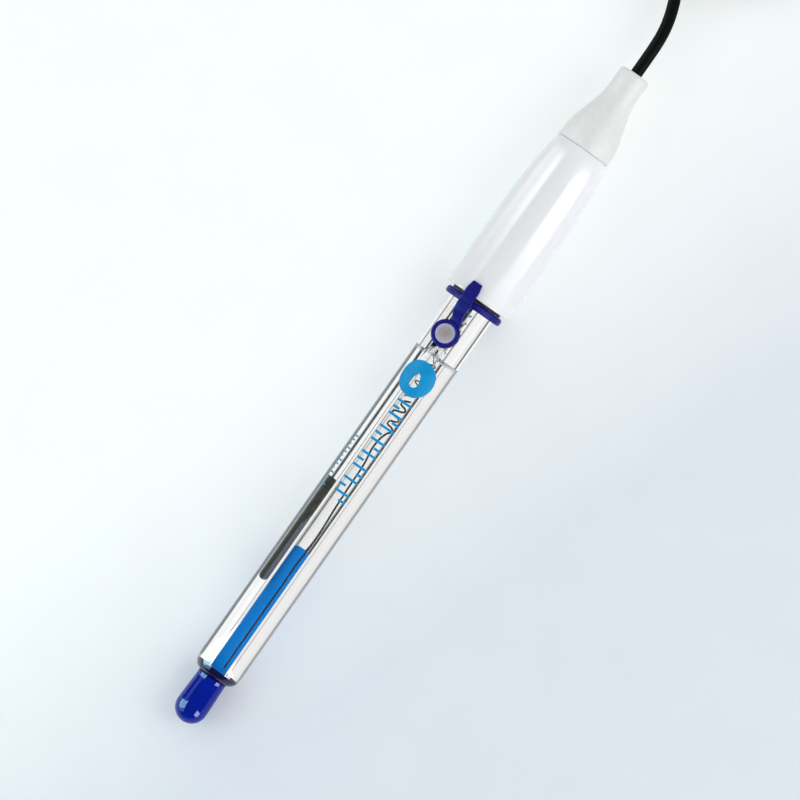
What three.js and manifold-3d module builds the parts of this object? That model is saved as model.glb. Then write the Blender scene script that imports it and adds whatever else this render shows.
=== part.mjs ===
// Glass combination pH electrode with a coaxial cable and a bayonet plug, lying on a flat surface.
// Millimetres, +Z up. The electrode points along +X with its bulb at -X, and its refill plug faces up.
import * as THREE from 'three';
import { mergeVertices } from 'three/addons/utils/BufferGeometryUtils.js';
import Module from 'manifold-3d';

const wasm = await Module();
wasm.setup();

// ---- driving dimensions: u is the distance from the bulb's tip along the electrode's axis ----
const GAP = 0.3; // clearance between pieces that touch on the real object
const BULB_R = 3.85;
const BULB_WALL = 0.45;
const BULB_END = 12.9;
const TUBE_R = 6;
const TUBE_BORE = 5;
const SHOULDER = { start: 13, end: 16.4, lip: 4.35 };
const TUBE_END = 134;
const STEM_R = 2.1;
const STEM_BORE = 1.6;
const STEM_FOOT_R = 3.95;
const STEM_END = 136;
const GEL_LEVEL = 50;
const ELECTROLYTE = { start: 18.9, level: 107 };
const REFERENCE = { side: 3.0, up: 1.3, r: 0.8, start: 38.8, end: 68.3, leadR: 0.3, leadEnd: 145 };
const WIRE_R = 0.25;
const COIL = { r: 1.05, wireR: 0.2, start: 94, end: 130, turns: 17 };
const JUNCTION = { u: 17.7, r: 0.85 };
const REFILL = { u: 111.7, holeR: 1.9 };
const CAP = { start: 122.6, end: 166.1, r: 8.75, taper: 1.7, power: 5.5, wall: 1.75 };
const CAP_SEAT_R = TUBE_R + 0.35; // the cap's bore round the glass tube
const CAP_MOUTH = { r: 5.3, depth: 7 }; // the hole that the boot's shank plugs into
const O_RING = { u: 128.3, r: 0.62, meanR: 7, grooveR: 7.95, grooveHalf: 1.3 };
const BOOT = { start: 166.4, flare: 16.6, end: 188, r: 3.95, wideR: 7.05, bore: 1.8 };
const SHANK = { start: 160, r: 5 }; // the boot's part inside the cap
const CABLE_R = 1.5;
const RING = { inner: 6.35, outer: 7.7, start: 119.8, end: 121.6 };
const STRAP_WIDTH = 2.9;
const PLUG_R = 3.5;
const PLUG_TOP = 7.9; // distance of the plug's outer face from the electrode's axis

// Inside the cap, the two leads come through the resin and are joined to the cable's core and braid.
const RESIN = { start: STEM_END + 0.4, end: 143 };
const SIGNAL_LEAD_END = 146.5;
const CORE = { r: 0.75, start: 147, end: 154.6 };
const SIGNAL_JOINT = { inner: 1.05, outer: 1.45, start: 145.5, end: 150.5 };
const SHIELD_JOINT = { inner: 0.65, outer: 0.95, start: 143.5, end: 148 };
const BRAID_R = 0.35;
const CLAMP = { outer: 3.2, start: 156.2, end: 159.4 };
const CABLE_START = 155;

// The electrode rests on the cap's rim and on the lower end of the glass tube, so its axis is tilted.
const TILT = Math.atan((CAP.r - TUBE_R) / (CAP.start - SHOULDER.end));
const TIP_Z = TUBE_R * Math.cos(TILT) - SHOULDER.end * Math.sin(TILT);
const TIP_X = -94.863; // where the bulb's tip is along X

// ---- the cable: 1.0 m from the boot to the plug ----
const HANK = { start: 138, run: 57.5, inner: 9.3, outer: 12.4, layers: 3 };
const LEAD_IN = [ // from the boot's end down to the hank
  [93.08, 0, 10.44], [97, 0, 10.52], [101.5, 0.1, 10.45], [105, 0.5, 10.1], [108.5, 1.4, 9.45],
  [112, 2.8, 8.5], [115.5, 4.6, 7.3], [119, 6.7, 5.9], [122.5, 8.7, 4.5], [125.3, 10.1, 3.5],
];
const LEAD_OUT = [ // from the hank's inner side to the plug
  [150.5, 4.6, 7.45], [152.5, 3.5, 7.4], [155, 2.2, 7.3], [158, 1, 7.27], [160.5, 0.2, 7.25], [162.7, 0, 7.25],
];
const TIE = { x: 150, width: 5, thick: 0.8, low: 0.05, inside: 10.5, chamfer: 0.4 };
const WAIST = { depth: 1.2, reach: 12 }; // how far the tie draws the runs in, and how far from it
const PLUG_AXIS = { x: 163, z: 7.25 }; // rear end of the bayonet plug

const ROUND = 32; // facets round a large piece
const SMALL = 16; // facets round a small piece

// ---- materials ----
const paint = (color, roughness, metalness = 0, opacity = 1) =>
  new THREE.MeshStandardMaterial({ color, roughness, metalness, opacity, transparent: opacity < 1 });
const clearGlass = () => paint(0xe8f2f6, 0.05, 0, 0.35);
const materials = {
  glass: clearGlass,
  blueGlass: () => paint(0x140a8c, 0.08),
  gel: () => paint(0x0073c8, 0.3),
  liquid: () => paint(0xf4fafc, 0.05, 0, 0.2),
  silver: () => paint(0x3c3c3a, 0.35, 0.9),
  chloride: () => paint(0x3a3a30, 0.75),
  ceramic: () => paint(0x2c3438, 0.7),
  whitePlastic: () => paint(0xf2f2f0, 0.2),
  greyRubber: () => paint(0xdcdedc, 0.55),
  navySilicone: () => paint(0x150f78, 0.4),
  blackRubber: () => paint(0x0c0c0d, 0.5),
  resin: () => paint(0x50483c, 0.3),
  whiteInsulation: () => paint(0xf0f0ee, 0.4),
  redSleeve: () => paint(0x8c1e1a, 0.5),
  nickel: () => paint(0xc8c6c0, 0.22, 1),
  gold: () => paint(0xd8b45a, 0.2, 1),
  redSilicone: () => paint(0x9c2a20, 0.5),
};

// ---- geometry helpers ----
const point = ([r, u]) => new THREE.Vector2(r, u);

function arc(centreR, centreU, r, from, to, steps) {
  return Array.from({ length: steps + 1 }, (_, i) => {
    const a = THREE.MathUtils.degToRad(from + ((to - from) * i) / steps);
    return [centreR + r * Math.cos(a), centreU + r * Math.sin(a)];
  });
}

function along(from, to, steps, radius) {
  return Array.from({ length: steps + 1 }, (_, i) => {
    const u = from + ((to - from) * i) / steps;
    return [radius(u), u];
  });
}

// A body of revolution about the X axis. The profile holds [radius, u] pairs, anticlockwise.
function turned(profile, facets = ROUND) {
  const points = profile.map(point);
  const onAxis = (p) => Math.abs(p.x) < 1e-9;
  if (!onAxis(points[0])) points.push(points[0].clone());
  return new THREE.LatheGeometry(points, facets).rotateZ(-Math.PI / 2);
}

function rod(r, from, to, facets = SMALL) {
  return turned([[0, from], [r, from], [r, to], [0, to]], facets);
}

function ring(inner, outer, from, to, facets = ROUND) {
  return turned([[inner, from], [outer, from], [outer, to], [inner, to]], facets);
}

// A plate with its outline in the XZ plane, centred on Y.
function plate(outline, width) {
  const shape = new THREE.Shape(outline.map(([x, z]) => new THREE.Vector2(x, z)));
  const solid = new THREE.ExtrudeGeometry(shape, { depth: width, bevelEnabled: false });
  return solid.rotateX(Math.PI / 2).translate(0, width / 2, 0);
}

function swept(points, radius, sides, steps) {
  const section = new THREE.Shape(
    Array.from({ length: sides }, (_, i) => {
      const a = (2 * Math.PI * i) / sides;
      return new THREE.Vector2(radius * Math.cos(a), radius * Math.sin(a));
    }),
  );
  const path = new THREE.CatmullRomCurve3(points.map((p) => new THREE.Vector3(...p)));
  return new THREE.ExtrudeGeometry(section, { steps, extrudePath: path, bevelEnabled: false });
}

function toSolid(geometry) {
  const bare = geometry.clone();
  bare.deleteAttribute('normal');
  bare.deleteAttribute('uv');
  const merged = mergeVertices(bare, 1e-4);
  const vertProperties = new Float32Array(merged.attributes.position.array);
  const index = merged.index.array;
  const triVerts = [];
  for (let i = 0; i < index.length; i += 3) {
    const [a, b, c] = [index[i], index[i + 1], index[i + 2]];
    if (a !== b && b !== c && c !== a) triVerts.push(a, b, c);
  }
  return new wasm.Manifold(new wasm.Mesh({ numProp: 3, vertProperties, triVerts: new Uint32Array(triVerts) }));
}

function toGeometry(solid) {
  const mesh = solid.getMesh();
  const geometry = new THREE.BufferGeometry();
  geometry.setAttribute('position', new THREE.BufferAttribute(new Float32Array(mesh.vertProperties), 3));
  geometry.setIndex(new THREE.BufferAttribute(new Uint32Array(mesh.triVerts), 1));
  geometry.computeVertexNormals();
  return geometry;
}

const cut = (body, ...tools) =>
  toGeometry(tools.reduce((solid, tool) => solid.subtract(toSolid(tool)), toSolid(body)));
const join = (...pieces) => toGeometry(pieces.map(toSolid).reduce((a, b) => a.add(b)));

function add(parent, name, geometry, material) {
  const mesh = new THREE.Mesh(geometry, materials[material]());
  mesh.name = name;
  parent.add(mesh);
  return mesh;
}

const ease = (w) => (1 + Math.cos(Math.PI * Math.min(Math.max(w, 0), 1))) / 2; // 1 at 0, 0 at 1
const blend = (from, to, start, end) => (u) => to + (from - to) * ease((u - start) / (end - start));
const capRadius = (u) =>
  CAP.r - CAP.taper * ((u - CAP.start) / (CAP.end - CAP.start)) ** CAP.power;
const bootRadius = (u) =>
  BOOT.r + (BOOT.wideR - BOOT.r) * ease(Math.max((u - BOOT.start) / BOOT.flare, 0) ** 1.1);

// ---- glass parts and what they hold ----
function membraneBulb() {
  const inside = BULB_R - BULB_WALL;
  return turned([
    ...arc(0, BULB_R, BULB_R, -90, 0, 8),
    [BULB_R, BULB_END],
    [inside, BULB_END],
    ...arc(0, BULB_R, inside, 0, -90, 6),
  ]);
}

function stemTube() {
  const outer = blend(STEM_FOOT_R, STEM_R, 14.9, 18.2);
  const inner = blend(STEM_FOOT_R - 0.5, STEM_BORE, 14.6, 18);
  return turned([
    [STEM_FOOT_R, SHOULDER.start + 0.2],
    ...along(14.9, 18.2, 5, outer),
    [STEM_R, STEM_END],
    [STEM_BORE, STEM_END],
    ...along(18, 14.6, 5, inner),
    [STEM_FOOT_R - 0.5, SHOULDER.start + 0.2],
  ], 24);
}

function outerTube() {
  const { start, end, lip } = SHOULDER;
  const quarter = (r, from, to, steps) =>
    Array.from({ length: steps + 1 }, (_, i) => {
      const a = (Math.PI / 2) * (i / steps);
      return [lip + (r - lip) * Math.sin(a), to - (to - from) * Math.cos(a)];
    });
  const tube = turned([
    ...quarter(TUBE_R, start, end, 5),
    [TUBE_R, TUBE_END],
    [TUBE_BORE, TUBE_END],
    ...quarter(TUBE_BORE, start + 2.2, end + 1, 4).reverse(),
  ]);
  return cut(tube, radialRod(REFILL.u, REFILL.holeR, 3, 8), sideRod(JUNCTION.u, JUNCTION.r + GAP, 4, 8));
}

// A rod that points up from the axis at u, and one that points to +Y.
const radialRod = (u, r, from, to) => rod(r, from, to).rotateY(-Math.PI / 2).translate(u, 0, 0);
const sideRod = (u, r, from, to) => rod(r, from, to).rotateZ(Math.PI / 2).translate(u, 0, 0);
const atReference = (geometry) => geometry.translate(0, REFERENCE.side, REFERENCE.up);

function bufferGel() {
  const r = BULB_R - BULB_WALL - GAP;
  const gel = turned([
    ...arc(0, BULB_R, r, -90, 0, 6),
    ...along(14.2, 17.8, 4, blend(r, STEM_BORE - GAP, 14.2, 17.8)),
    [STEM_BORE - GAP, GEL_LEVEL],
    [0, GEL_LEVEL],
  ], 20);
  return cut(gel, rod(WIRE_R + GAP, 22, GEL_LEVEL + 1, 12));
}

function electrolyte() {
  const body = ring(STEM_R + GAP, TUBE_BORE - GAP, ELECTROLYTE.start, ELECTROLYTE.level, 24);
  const { r, start, end, leadR } = REFERENCE;
  return cut(
    body,
    atReference(rod(r + GAP, start - GAP, end + GAP, 12)),
    atReference(rod(leadR + GAP, end, ELECTROLYTE.level + 1, 12)),
  );
}

function leadCoil() {
  const perTurn = 8;
  const points = Array.from({ length: COIL.turns * perTurn + 1 }, (_, i) => {
    const a = (2 * Math.PI * i) / perTurn;
    const u = COIL.start + ((COIL.end - COIL.start) * i) / (COIL.turns * perTurn);
    return [u, COIL.r * Math.cos(a), COIL.r * Math.sin(a)];
  });
  return swept(points, COIL.wireR, 5, COIL.turns * perTurn);
}

// ---- cap, what it holds, and the boot ----
function capShell() {
  const { start, end, r, wall } = CAP;
  return turned([
    [CAP_SEAT_R, start],
    [r - 0.4, start],
    ...along(start + 0.4, start + 24, 3, capRadius),
    ...along(start + 30, end, 8, capRadius),
    [CAP_MOUTH.r, end],
    [CAP_MOUTH.r, end - CAP_MOUTH.depth],
    [r - wall, end - CAP_MOUTH.depth - 1.5],
    [r - wall, STEM_END],
    [CAP_SEAT_R, STEM_END],
    [CAP_SEAT_R, O_RING.u + O_RING.grooveHalf],
    [O_RING.grooveR, O_RING.u + O_RING.grooveHalf],
    [O_RING.grooveR, O_RING.u - O_RING.grooveHalf],
    [CAP_SEAT_R, O_RING.u - O_RING.grooveHalf],
  ]);
}

function strainRelief() {
  const { start, end, r, bore } = BOOT;
  return turned([
    [bore, SHANK.start],
    [SHANK.r, SHANK.start],
    [SHANK.r, start],
    ...along(start, start + BOOT.flare, 8, bootRadius),
    ...arc(r - 0.8, end - 0.8, 0.8, 0, 90, 3),
    [bore, end],
  ]);
}

function pottingPlug() {
  const body = rod(CAP.r - CAP.wall - 0.35, RESIN.start, RESIN.end, 24);
  return cut(
    body,
    rod(WIRE_R + GAP, STEM_END, RESIN.end + 1, 12),
    atReference(rod(REFERENCE.leadR + GAP, STEM_END, RESIN.end + 1, 12)),
  );
}

// ---- silicone stopper ----
function stopperRing() {
  const { inner, outer, start, end } = RING;
  const half = (end - start) / 2;
  const band = turned([
    [inner, start],
    [outer - half, start],
    ...arc(outer - half, start + half, half, -60, 60, 4),
    [outer - half, end],
    [inner, end],
  ]);
  const tab = plate([
    [start, 6.9], [start, 9.5], [start + 0.5, 10.05], [125.2, 10.05], [125.8, 9.5],
    [125.8, 9.05], [end + 0.5, 9.05], [end, 8.4], [end, 6.9],
  ], STRAP_WIDTH);
  return join(band, tab);
}

function stopperPlug() {
  const low = TUBE_R + GAP;
  const disc = [
    [0, low - 1.4],
    [0.9, low - 1.4],
    [1.2, low],
    [PLUG_R - 0.4, low],
    [PLUG_R, low + 0.4],
    [PLUG_R, PLUG_TOP - 0.5],
    [PLUG_R - 0.5, PLUG_TOP],
    [2.4, PLUG_TOP],
    [2.1, PLUG_TOP - 0.5],
    [0, PLUG_TOP - 0.5],
  ];
  const button = turned(disc, 24).rotateY(-Math.PI / 2).translate(REFILL.u, 0, 0);
  const strap = plate([
    [118, 9.35], [118, 8.25], [116.2, 6.9], [114.4, 6.5], [114.4, 7.6], [115.6, 7.8], [116.8, 8.7],
  ], STRAP_WIDTH);
  return join(button, strap);
}

// ---- cable ----
const waist = (x) => WAIST.depth * ease(Math.abs(x - TIE.x) / WAIST.reach);

// An oval outline, drawn in at the tie.
function racetrack(halfWidth) {
  const steps = 4;
  const side = (sign) =>
    Array.from({ length: 2 * steps }, (_, i) => {
      const x = TIE.x + (WAIST.reach * (i + 1 - steps)) / steps;
      return [x, sign * (halfWidth - waist(x))];
    });
  const outline = [
    ...arc(HANK.start + HANK.run, 0, halfWidth, -90, 90, 14),
    ...side(1).reverse(),
    ...arc(TIE.x - WAIST.reach, 0, halfWidth, 90, 270, 14),
    ...side(-1),
  ];
  return outline.map(([x, y]) => new THREE.Vector2(x, y));
}

function hankSolid() {
  const shape = new THREE.Shape(racetrack(HANK.outer + CABLE_R));
  shape.holes.push(new THREE.Path(racetrack(HANK.inner - CABLE_R - 0.1)));
  const height = 2 * CABLE_R * HANK.layers;
  const body = new THREE.ExtrudeGeometry(shape, { depth: height, bevelEnabled: false });
  const notchTop = TIE.low + TIE.thick + GAP;
  const notch = new THREE.BoxGeometry(TIE.width + 1, 40, 2).translate(TIE.x, 0, notchTop - 1);
  return cut(body, notch);
}

function tieBand() {
  const { x, width, thick, low, inside, chamfer } = TIE;
  const halfWidth = HANK.outer + CABLE_R - WAIST.depth + 0.4;
  const loop = (grow) => {
    const [w, bottom, top] = [halfWidth + grow, low + thick - grow, inside + grow];
    return [
      [-w, bottom + chamfer], [chamfer - w, bottom], [w - chamfer, bottom], [w, bottom + chamfer],
      [w, top - chamfer], [w - chamfer, top], [chamfer - w, top], [-w, top - chamfer],
    ].map(([y, z]) => new THREE.Vector2(y, z));
  };
  const shape = new THREE.Shape(loop(thick));
  shape.holes.push(new THREE.Path(loop(0)));
  const band = new THREE.ExtrudeGeometry(shape, { depth: width, bevelEnabled: false });
  return band.rotateX(Math.PI / 2).rotateZ(Math.PI / 2).translate(x - width / 2, 0, 0);
}

// ---- bayonet plug: v is the distance from its rear end ----
function plugBody() {
  return turned([
    [1.8, 15.3], [4.3, 15.3], [4.6, 15.6], [4.6, 21.6], [5.6, 21.6], [5.6, 23.2],
    [4.1, 23.2], [4.1, 31], [3.6, 31], [3.6, 19.3], [1.8, 19.3],
  ]);
}

function bayonetCollar() {
  const shell = turned([
    [4.95, 18.3], [6.6, 18.3], [7.25, 18.9], [7.25, 31.5], [6.9, 32], [6, 32], [6, 19.1], [4.95, 19.1],
  ]);
  return cut(shell, bayonetSlot(0), bayonetSlot(Math.PI));
}

// A slot that enters at the collar's front edge and winds back, wrapped onto the collar.
function bayonetSlot(turn) {
  const outline = [[-1.15, 33], [-1.15, 29.2], [0, 27.6], [6.6, 25], [8.2, 25], [8.9, 26.2],
    [8.2, 27.3], [7, 27.3], [1.8, 29.4], [1.15, 30], [1.15, 33]];
  const shape = new THREE.Shape(outline.map(([s, v]) => new THREE.Vector2(s, v)));
  const slab = new THREE.ExtrudeGeometry(shape, { depth: 7, bevelEnabled: false });
  const position = slab.attributes.position;
  const wrapR = 6.6;
  const insideR = 5.2;
  for (let i = 0; i < position.count; i += 1) {
    const angle = turn + position.getX(i) / wrapR;
    const radius = insideR + position.getZ(i);
    position.setXYZ(i, position.getY(i), -radius * Math.sin(angle), radius * Math.cos(angle));
  }
  return facingOut(slab);
}

// Turns the faces of a closed geometry out, if wrapping it has turned them in.
function facingOut(geometry) {
  const flat = geometry.index ? geometry.toNonIndexed() : geometry;
  const p = flat.attributes.position;
  const corner = (i) => new THREE.Vector3().fromBufferAttribute(p, i);
  let volume = 0;
  for (let i = 0; i < p.count; i += 3) volume += corner(i).dot(corner(i + 1).cross(corner(i + 2)));
  if (volume > 0) return flat;
  for (let i = 0; i < p.count; i += 3) {
    const [a, b] = [corner(i), corner(i + 1)];
    p.setXYZ(i, b.x, b.y, b.z);
    p.setXYZ(i + 1, a.x, a.y, a.z);
  }
  return flat;
}

// ---- assembly ----
function buildElectrode() {
  const group = new THREE.Group();
  group.position.set(TIP_X, 0, TIP_Z);
  group.rotation.y = -TILT;
  add(group, 'membrane_bulb', membraneBulb(), 'blueGlass');
  add(group, 'outer_glass_body', outerTube(), 'glass');
  add(group, 'stem_tube', stemTube(), 'glass');
  add(group, 'buffer_gel', bufferGel(), 'gel');
  add(group, 'electrolyte_fill', electrolyte(), 'liquid');
  add(group, 'inner_silver_wire', rod(WIRE_R, 22.3, COIL.start - 0.5, 8), 'silver');
  add(group, 'lead_coil', leadCoil(), 'silver');
  add(group, 'signal_lead', rod(WIRE_R, COIL.end + 0.5, SIGNAL_LEAD_END, 8), 'silver');
  add(group, 'reference_element', atReference(referenceRod()), 'chloride');
  const { leadR, end, leadEnd } = REFERENCE;
  add(group, 'reference_lead', atReference(rod(leadR, end + GAP, leadEnd, 8)), 'silver');
  add(group, 'ceramic_junction', sideRod(JUNCTION.u, JUNCTION.r, TUBE_BORE, TUBE_R + 0.05), 'ceramic');
  add(group, 'cap_shell', capShell(), 'whitePlastic');
  const ringSection = arc(O_RING.meanR, O_RING.u, O_RING.r, 0, 360, 8).slice(1);
  add(group, 'cap_o_ring', turned(ringSection, 24), 'blackRubber');
  add(group, 'potting_plug', pottingPlug(), 'resin');
  add(group, 'coax_core', rod(CORE.r, CORE.start, CORE.end, 10), 'whiteInsulation');
  add(group, 'signal_joint_sleeve', sleeve(SIGNAL_JOINT), 'redSleeve');
  const { side, up } = REFERENCE;
  const braid = [[145.4, side, up], [148, side, up], [151, 2.6, 1.1], [153, 2, 0.85], [154.5, 1.75, 0.75]];
  add(group, 'shield_pigtail', swept(braid, BRAID_R, 6, 10), 'nickel');
  add(group, 'shield_joint_sleeve', atReference(sleeve(SHIELD_JOINT)), 'blackRubber');
  add(group, 'cable_clamp', ring(CABLE_R + GAP, CLAMP.outer, CLAMP.start, CLAMP.end, 20), 'nickel');
  add(group, 'cable_in_cap', rod(CABLE_R, CABLE_START, BOOT.end - GAP), 'blackRubber');
  add(group, 'strain_relief_boot', strainRelief(), 'greyRubber');
  add(group, 'stopper_ring', stopperRing(), 'navySilicone');
  add(group, 'stopper_plug', stopperPlug(), 'navySilicone');
  return group;
}

const sleeve = ({ inner, outer, start, end }) => ring(inner, outer, start, end, 12);

function referenceRod() {
  const { r, start, end } = REFERENCE;
  return turned([...arc(0, start + r, r, -90, 0, 3), [r, end], [0, end]], 12);
}

function buildCable() {
  const group = new THREE.Group();
  add(group, 'cable', swept(LEAD_IN, CABLE_R, 8, 14), 'blackRubber');
  add(group, 'cable_hank', hankSolid(), 'blackRubber');
  add(group, 'cable_tie', tieBand(), 'blackRubber');
  add(group, 'cable_tail', swept(LEAD_OUT, CABLE_R, 8, 8), 'blackRubber');
  return group;
}

function buildConnector() {
  const group = new THREE.Group();
  group.position.set(PLUG_AXIS.x, 0, PLUG_AXIS.z);
  const boot = [[1.8, 0], [2.6, 0], [3, 0.5], [3.7, 9], [1.8, 9]];
  add(group, 'connector_boot', turned(boot, 20), 'blackRubber');
  add(group, 'crimp_ferrule', ring(1.8, 3.2, 9.3, 15, 20), 'nickel');
  add(group, 'connector_body', plugBody(), 'nickel');
  add(group, 'connector_insulator', ring(0.95, 3.3, 19.6, 26, 16), 'whiteInsulation');
  const pin = [[0, 17], [0.65, 17], [0.65, 29.4], [0.25, 30.3], [0, 30.3]];
  add(group, 'centre_pin', turned(pin, 12), 'gold');
  add(group, 'connector_gasket', ring(4.4, 5.3, 23.5, 24.3, 20), 'redSilicone');
  add(group, 'wave_spring', ring(4.95, 5.6, 20.95, 21.3, 20), 'nickel');
  add(group, 'retaining_washer', ring(4.95, 5.7, 19.4, 19.9, 20), 'nickel');
  add(group, 'bayonet_collar', bayonetCollar(), 'nickel');
  return group;
}

const electrodeWithCable = new THREE.Group();
electrodeWithCable.add(buildElectrode(), buildCable(), buildConnector());

export default electrodeWithCable;
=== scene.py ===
import math

import bmesh
import bpy
from mathutils import Matrix, Vector


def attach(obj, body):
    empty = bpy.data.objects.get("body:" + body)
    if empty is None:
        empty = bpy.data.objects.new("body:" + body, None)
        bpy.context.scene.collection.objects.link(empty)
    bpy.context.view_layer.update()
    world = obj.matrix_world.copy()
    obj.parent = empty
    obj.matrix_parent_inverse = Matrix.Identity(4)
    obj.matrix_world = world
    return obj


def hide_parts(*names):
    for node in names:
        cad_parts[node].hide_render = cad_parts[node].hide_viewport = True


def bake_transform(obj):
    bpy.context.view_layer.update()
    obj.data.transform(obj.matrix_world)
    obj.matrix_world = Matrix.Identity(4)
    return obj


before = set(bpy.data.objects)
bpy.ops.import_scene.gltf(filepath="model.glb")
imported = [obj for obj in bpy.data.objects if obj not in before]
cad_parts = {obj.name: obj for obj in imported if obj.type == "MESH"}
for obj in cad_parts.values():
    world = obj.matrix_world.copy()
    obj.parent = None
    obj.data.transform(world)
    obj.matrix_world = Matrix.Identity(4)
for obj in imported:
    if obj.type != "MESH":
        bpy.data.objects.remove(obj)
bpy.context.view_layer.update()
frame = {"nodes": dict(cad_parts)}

MM = 0.001

# ---------------------------------------------------------------- sizes, in millimetres
# u is the distance from the bulb's tip along the electrode's axis, and r the distance from the axis.
# The electrode lies on the lower end of its glass tube and on its cap's rim, so its axis is tilted.
TILT = math.atan2(2.75, 106.2)
TIP = Vector((-94.863, 0, 5.5735))
ELECTRODE = Matrix.Translation(TIP) @ Matrix.Rotation(-TILT, 4, "Y")
PLUG = Matrix.Translation((163, 0, 7.25))  # the bayonet plug, by distance from its rear end
FLAT = Matrix.Identity(4)

BULB_R = 3.85
TUBE_R = 6.0
TUBE_BORE = 5.0
TUBE_END = 134.0
SHOULDER = {"start": 12.95, "end": 16.4, "lip": 3.9}
STEM_R = 2.1
STEM_BORE = 1.6
STEM_END = 136.0
GEL_LEVEL = 50.0
LIQUID_FLOOR = 17.6
LIQUID_LEVEL = 106.0
REFERENCE = {"side": 2.9, "up": 2.0, "r": 1.05, "start": 38.8, "end": 68.3, "lead_r": 0.3}
REFILL = {"u": 111.7, "r": 1.9}
CAP = {"start": 122.6, "end": 166.1, "r": 8.75, "taper": 1.7, "power": 5.5, "wall": 1.75}
BOOT = {"start": 166.4, "flare": 16.6, "end": 188.0, "r": 3.95, "wide": 7.05}
RING = {"inner": 6.35, "outer": 7.7, "start": 120.1, "end": 121.9}
STRAP_WIDTH = 2.9
DISC_R = 3.5
DISC_TOP = 7.9

CABLE_D = 3.0
EXIT = (93.08, 0, 10.44)
LEAD_IN = [
    EXIT, (97, 0, 10.52), (101.5, 0.1, 10.45), (105, 0.5, 10.1), (108.5, 1.4, 9.45),
    (112, 2.8, 8.5), (115.5, 4.6, 7.3), (119, 6.7, 5.9), (122.5, 8.7, 4.5), (125.3, 10.1, 3.5),
    (129.5, 11.6, 2.4), (133, 12.2, 1.8), (136, 12.4, 1.52),
]
LEAD_OUT = [
    (140.5, 8.6, 7.5), (143, 7.9, 7.5), (145.5, 6.9, 7.5), (148, 5.8, 7.48),
    (150.5, 4.6, 7.45), (152.5, 3.5, 7.4), (155, 2.2, 7.3), (158, 1, 7.27), (160.5, 0.2, 7.25),
    (162.7, 0, 7.25),
]
HANK_START = 138.0
HANK_RUN = 57.5
INNER, OUTER = 9.3, 12.4
TRACKS = [(OUTER, 1.5), (INNER, 1.5), (INNER, 4.5), (OUTER, 4.5), (OUTER, 7.5), (INNER, 7.5)]
CROSSOVERS = [(-20, 90), (-90, 20), (-60, 60), (-90, 0), (-90, 0)]  # degrees round the near fold
TIE = {"x": 150.0, "width": 5.0, "thick": 0.8, "low": 0.05, "inside": 10.5, "half": 13.1}
TIE_LIFT = 1.1
WAIST = {"depth": 1.2, "reach": 12.0}


# ---------------------------------------------------------------- geometry helpers

def ease(t):
    t = min(1.0, max(0.0, t))
    return t * t * (3 - 2 * t)


def add_object(name, data):
    thing = bpy.data.objects.new(name, data)
    bpy.context.scene.collection.objects.link(thing)
    return thing


def mesh_from(name, bm, place, materials, sharp=40):
    """Ends a bmesh made in millimetres: put in place, in metres, smooth except at sharp edges."""
    bm.transform(Matrix.Scale(MM, 4) @ place)
    bmesh.ops.recalc_face_normals(bm, faces=bm.faces)
    data = bpy.data.meshes.new(name)
    bm.to_mesh(data)
    bm.free()
    for material in materials:
        data.materials.append(material)
    data.shade_smooth()
    data.set_sharp_from_angle(angle=math.radians(sharp))
    return add_object(name, data)


def arc(u, r, radius, start, end, steps=8):
    """Points round (u, r), by angle in degrees from +u towards +r."""
    turns = [math.radians(start + (end - start) * i / steps) for i in range(steps + 1)]
    return [(u + radius * math.cos(a), r + radius * math.sin(a)) for a in turns]


def fillet(corners, steps=5):
    """A closed outline from its corners: (a, b) stays sharp and (a, b, radius) is rounded."""
    outline = []
    for i, corner in enumerate(corners):
        here = Vector(corner[:2])
        if len(corner) == 2:
            outline.append(here)
            continue
        before = (Vector(corners[i - 1][:2]) - here).normalized()
        after = (Vector(corners[(i + 1) % len(corners)][:2]) - here).normalized()
        half = before.angle(after) / 2
        centre = here + (before + after).normalized() * (corner[2] / math.sin(half))
        first = here + before * (corner[2] / math.tan(half)) - centre
        last = here + after * (corner[2] / math.tan(half)) - centre
        start = math.atan2(first.y, first.x)
        sweep = (math.atan2(last.y, last.x) - start + math.pi) % (2 * math.pi) - math.pi
        for k in range(steps + 1):
            a = start + sweep * k / steps
            outline.append(centre + corner[2] * Vector((math.cos(a), math.sin(a))))
    pairs = zip(outline, outline[1:] + outline[:1])
    return [tuple(p) for p, after in pairs if (after - p).length > 1e-5]  # roundings can meet in a point


def revolved(profile, facets=96, pick=None):
    """A bmesh of a profile of (u, r) turned about the u axis. pick(u, r) chooses a face's material."""
    bm = bmesh.new()
    rings = []
    for u, r in profile:
        if r < 1e-6:
            rings.append([bm.verts.new((u, 0, 0))])
            continue
        turns = [2 * math.pi * k / facets for k in range(facets)]
        rings.append([bm.verts.new((u, r * math.cos(a), r * math.sin(a))) for a in turns])
    for i in range(len(rings)):
        a, b = rings[i], rings[(i + 1) % len(rings)]
        if len(a) == len(b) == 1:
            continue
        index = 0
        if pick:
            (u0, r0), (u1, r1) = profile[i], profile[(i + 1) % len(rings)]
            index = pick((u0 + u1) / 2, (r0 + r1) / 2)
        for k in range(facets):
            corners = [a[k % len(a)], a[(k + 1) % len(a)], b[(k + 1) % len(b)], b[k % len(b)]]
            face = bm.faces.new(list(dict.fromkeys(corners)))
            face.material_index = index
    return bm


def turned(name, profile, place, materials, facets=96, pick=None, sharp=40):
    return mesh_from(name, revolved(profile, facets, pick), place, materials, sharp)


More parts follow.
